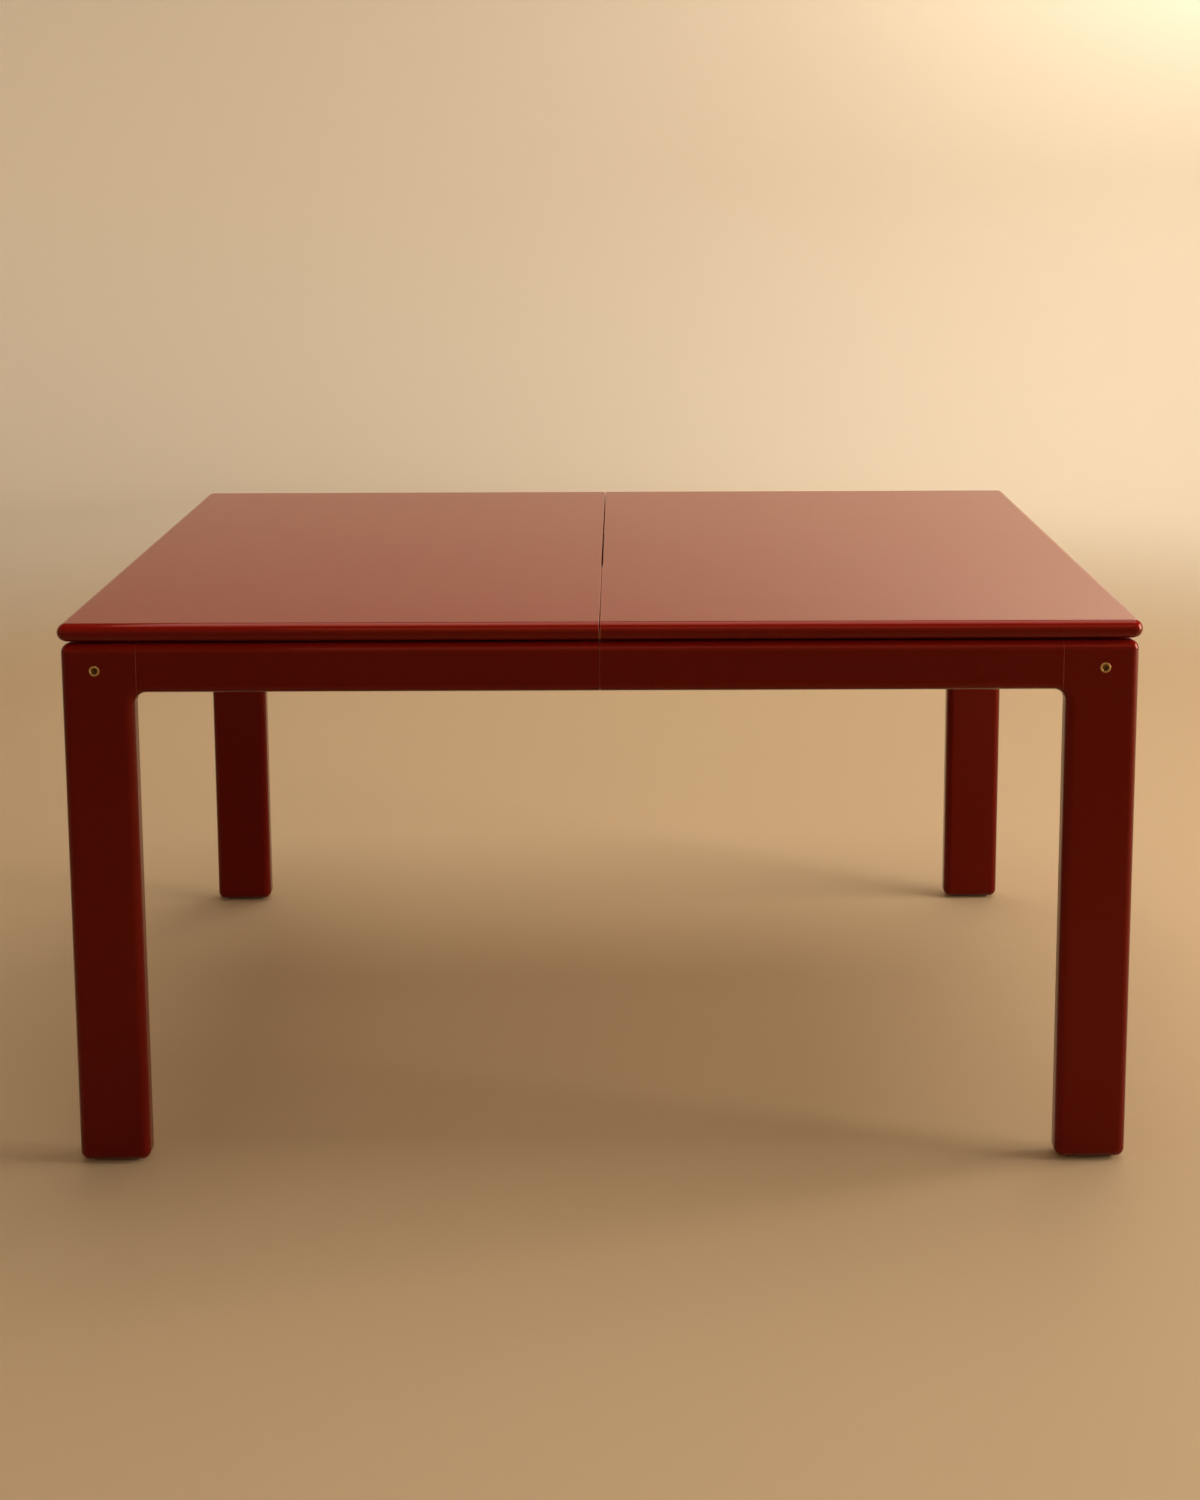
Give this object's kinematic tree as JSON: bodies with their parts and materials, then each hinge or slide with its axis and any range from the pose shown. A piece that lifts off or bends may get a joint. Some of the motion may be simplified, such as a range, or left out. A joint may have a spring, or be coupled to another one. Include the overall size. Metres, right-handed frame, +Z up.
{
  "type": "extending dining table",
  "caption": "Rectangular dining table with rounded plank legs; its two halves pull apart on geared runners over a folded leaf stored under the top.",
  "frame": {"origin": "on the floor, under the middle of the closed table", "axes": "+X along the table's length, the way the right half pulls out; +Y from the front to the back; +Z up"},
  "size_m": [1.408, 0.958, 0.74],
  "materials": {
    "red_lacquer": "high-gloss red polyester lacquer on solid wood and board",
    "beech": "planed and waxed beech",
    "brass": "turned brass",
    "steel": "zinc-plated",
    "nylon": "moulded nylon",
    "felt": "dark wool felt"
  },
  "bodies": {
    "left_half": {"top_left": "red_lacquer", "leg_front_left": "red_lacquer", "leg_back_left": "red_lacquer", "apron_front_left": "red_lacquer", "apron_back_left": "red_lacquer", "end_rail_left": "red_lacquer", "corner_blocks_left": "beech", "battens_left": "beech", "foot_pads_left": "felt", "leg_bolts_left": "brass", "cup_washers_left": "brass", "barrel_nuts_left": "steel", "frame_dowels_left": "beech", "runner_left_front": "beech", "runner_left_back": "beech", "racks_left": "steel", "stop_blocks_left": "beech", "runner_screws_left": "steel", "batten_screws_left": "steel", "seam_pegs": "brass", "latch_plates": "steel", "latch_pivots": "steel"},
    "right_half": {"top_right": "red_lacquer", "leg_front_right": "red_lacquer", "leg_back_right": "red_lacquer", "apron_front_right": "red_lacquer", "apron_back_right": "red_lacquer", "end_rail_right": "red_lacquer", "corner_blocks_right": "beech", "battens_right": "beech", "foot_pads_right": "felt", "leg_bolts_right": "brass", "cup_washers_right": "brass", "barrel_nuts_right": "steel", "frame_dowels_right": "beech", "runner_right_front": "beech", "runner_right_back": "beech", "racks_right": "steel", "stop_blocks_right": "beech", "runner_screws_right": "steel", "batten_screws_right": "steel", "latch_keepers": "steel"},
    "centre_carriage": {"runner_centre_front": "beech", "runner_centre_back": "beech", "pinion_pins": "steel", "leaf_bearers": "beech", "bearer_screws": "steel", "leaf_stops": "beech", "leaf_panel_lower": "red_lacquer", "leaf_panel_upper": "red_lacquer", "leaf_hinges": "brass", "leaf_hinge_pins": "steel", "leaf_pegs": "brass"},
    "pinion_front": {"pinion_front": "nylon"},
    "pinion_back": {"pinion_back": "nylon"},
    "latch_front": {"latch_front": "steel"},
    "latch_back": {"latch_back": "steel"}
  },
  "joints": [
    {"name": "extend", "type": "slide", "parent": "left_half", "child": "right_half", "axis": [1, 0, 0], "range_m": [0, 0.5]},
    {"name": "carriage_slide", "type": "slide", "parent": "left_half", "child": "centre_carriage", "axis": [1, 0, 0], "range_m": [0, 0.25]},
    {"name": "pinion_front_turn", "type": "hinge", "parent": "centre_carriage", "child": "pinion_front", "pos_m": [0, -0.2999, 0.6684], "axis": [0, 0, 1], "range_deg": [-1110, 0]},
    {"name": "pinion_back_turn", "type": "hinge", "parent": "centre_carriage", "child": "pinion_back", "pos_m": [0, 0.2999, 0.6684], "axis": [0, 0, 1], "range_deg": [0, 1110]},
    {"name": "latch_front_swing", "type": "hinge", "parent": "left_half", "child": "latch_front", "pos_m": [-0.016, -0.37615, 0.7121], "axis": [0, 0, 1], "range_deg": [0, 90]},
    {"name": "latch_back_swing", "type": "hinge", "parent": "left_half", "child": "latch_back", "pos_m": [-0.016, 0.37615, 0.7121], "axis": [0, 0, 1], "range_deg": [-90, 0]}
  ],
  "couplings": [
    {"joint": "carriage_slide", "follows": "extend", "ratio": 0.5},
    {"joint": "pinion_front_turn", "follows": "extend", "rad_per_m": -38.462},
    {"joint": "pinion_back_turn", "follows": "extend", "rad_per_m": 38.462}
  ]
}
